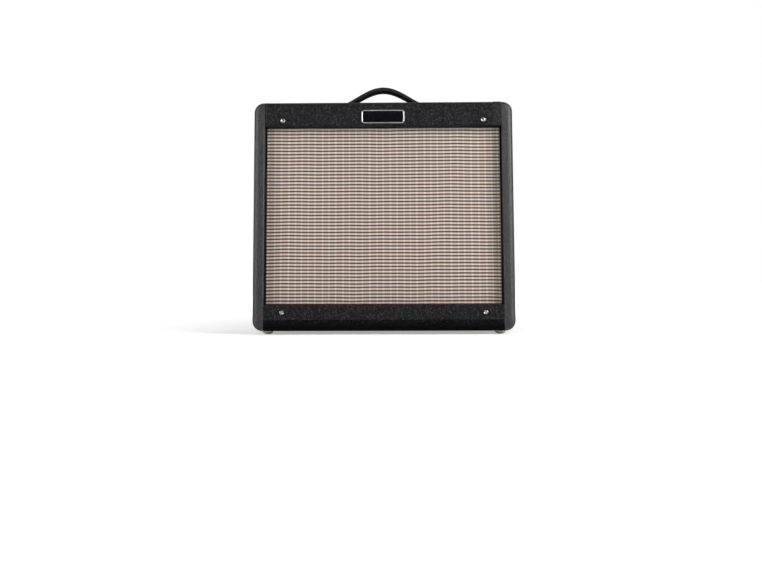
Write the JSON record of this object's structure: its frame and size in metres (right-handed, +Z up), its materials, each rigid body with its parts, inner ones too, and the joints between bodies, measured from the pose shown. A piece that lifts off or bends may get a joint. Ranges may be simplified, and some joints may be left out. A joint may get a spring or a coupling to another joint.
{
  "type": "guitar amplifier",
  "caption": "Combo guitar amplifier: vinyl-covered cabinet with recessed woven grille, strap handle, top control panel, open back and loudspeaker.",
  "frame": {"origin": "centre of the footprint on the floor, under the glides", "axes": "+X to the right seen from the front, +Y from the grille to the back, +Z up"},
  "size_m": [0.457, 0.2359, 0.4477],
  "materials": {
    "covered_board": "board covered in black pebble-grained vinyl",
    "baffle_wood": "plywood, painted dark",
    "cleat_wood": "plain pine",
    "grille_cloth": "woven beige and brown cloth",
    "nickel_fixings": "nickel plated, slightly dull",
    "badge_frame": "bright polished frame",
    "badge_plate": "near-black gloss plate",
    "bright_metal": "bright chrome",
    "strap": "black grained strap",
    "chassis_steel": "zinc-plated steel",
    "control_plate": "chrome-plated control panel",
    "pot_steel": "pressed steel",
    "black_knob": "black moulded plastic",
    "black_plastic": "black moulded plastic",
    "jewel": "red faceted jewel",
    "board_green": "green circuit board",
    "capacitor_sleeve": "blue sleeve",
    "socket_brown": "brown moulded plastic",
    "valve_glass": "clear valve glass",
    "shield_metal": "bright drawn can",
    "transformer_black": "black painted cover and laminations",
    "basket_paint": "dark grey hammered paint",
    "plated_steel": "zinc-plated steel",
    "ferrite": "dark grey ferrite",
    "cone_paper": "pressed paper",
    "edge_paper": "treated corrugated edge",
    "spider_cloth": "impregnated cloth",
    "coil_copper": "copper wire on its former",
    "lead_rubber": "black insulated lead"
  },
  "bodies": {
    "root": {"side_panel_left": "covered_board", "side_panel_right": "covered_board", "top_panel": "covered_board", "bottom_panel": "covered_board", "upper_front_rail": "covered_board", "lower_front_rail": "covered_board", "baffle_board": "baffle_wood", "grille_cloth": "grille_cloth", "rail_screws": "nickel_fixings", "cup_washers": "nickel_fixings", "nameplate_frame": "badge_frame", "nameplate_insert": "badge_plate", "upper_back_panel": "covered_board", "lower_back_panel": "covered_board", "back_panel_screws": "nickel_fixings", "panel_cleats": "cleat_wood", "glides": "bright_metal", "handle_strap": "strap", "handle_caps": "bright_metal", "handle_screws": "nickel_fixings", "chassis": "chassis_steel", "control_panel": "control_plate", "chassis_screws": "nickel_fixings", "pot_bodies": "pot_steel", "panel_nuts": "bright_metal", "jack_sockets": "black_plastic", "switch_bodies": "black_plastic", "pilot_bezel": "bright_metal", "pilot_jewel": "jewel", "circuit_board": "board_green", "filter_capacitors": "capacitor_sleeve", "valve_sockets": "socket_brown", "power_valves": "valve_glass", "preamp_valves": "valve_glass", "valve_shields": "shield_metal", "power_transformer": "transformer_black", "output_transformer": "transformer_black", "mains_inlet": "black_plastic", "fuse_holder": "black_plastic", "speaker_basket": "basket_paint", "speaker_top_plate": "plated_steel", "speaker_magnet": "ferrite", "speaker_yoke": "plated_steel", "speaker_bolts": "plated_steel", "cone_surround": "edge_paper", "speaker_spider": "spider_cloth", "reverb_tank": "plated_steel", "reverb_springs": "plated_steel", "internal_leads": "lead_rubber"},
    "volume_knob": {"volume_knob": "black_knob"},
    "treble_knob": {"treble_knob": "black_knob"},
    "bass_knob": {"bass_knob": "black_knob"},
    "middle_knob": {"middle_knob": "black_knob"},
    "master_knob": {"master_knob": "black_knob"},
    "reverb_knob": {"reverb_knob": "black_knob"},
    "boost_button": {"boost_button": "black_knob"},
    "power_toggle": {"power_toggle": "bright_metal"},
    "speaker_cone": {"speaker_cone": "cone_paper", "dust_cap": "cone_paper", "voice_coil": "coil_copper"}
  },
  "joints": [
    {"name": "volume_turn", "type": "hinge", "parent": "root", "child": "volume_knob", "pos_m": [-0.12406, 0.0595, 0.3965], "axis": [0, 0, -1], "range_deg": [-150, 150]},
    {"name": "treble_turn", "type": "hinge", "parent": "root", "child": "treble_knob", "pos_m": [-0.05317, 0.0595, 0.3965], "axis": [0, 0, -1], "range_deg": [-150, 150]},
    {"name": "bass_turn", "type": "hinge", "parent": "root", "child": "bass_knob", "pos_m": [-0.01772, 0.0595, 0.3965], "axis": [0, 0, -1], "range_deg": [-150, 150]},
    {"name": "middle_turn", "type": "hinge", "parent": "root", "child": "middle_knob", "pos_m": [0.01772, 0.0595, 0.3965], "axis": [0, 0, -1], "range_deg": [-150, 150]},
    {"name": "master_turn", "type": "hinge", "parent": "root", "child": "master_knob", "pos_m": [0.05317, 0.0595, 0.3965], "axis": [0, 0, -1], "range_deg": [-150, 150]},
    {"name": "reverb_turn", "type": "hinge", "parent": "root", "child": "reverb_knob", "pos_m": [0.08861, 0.0595, 0.3965], "axis": [0, 0, -1], "range_deg": [-150, 150]},
    {"name": "boost_press", "type": "slide", "parent": "root", "child": "boost_button", "axis": [0, 0, -1], "range_m": [0, 0.0025], "stiffness_N_per_m": 600, "springref_m": -0.001},
    {"name": "power_flip", "type": "hinge", "parent": "root", "child": "power_toggle", "pos_m": [0.1595, 0.0595, 0.3905], "axis": [1, 0, 0], "range_deg": [0, 26]},
    {"name": "cone_stroke", "type": "slide", "parent": "root", "child": "speaker_cone", "axis": [0, -1, 0], "range_m": [-0.003, 0.003], "stiffness_N_per_m": 8000, "deforming": ["cone_surround", "speaker_spider"]}
  ]
}
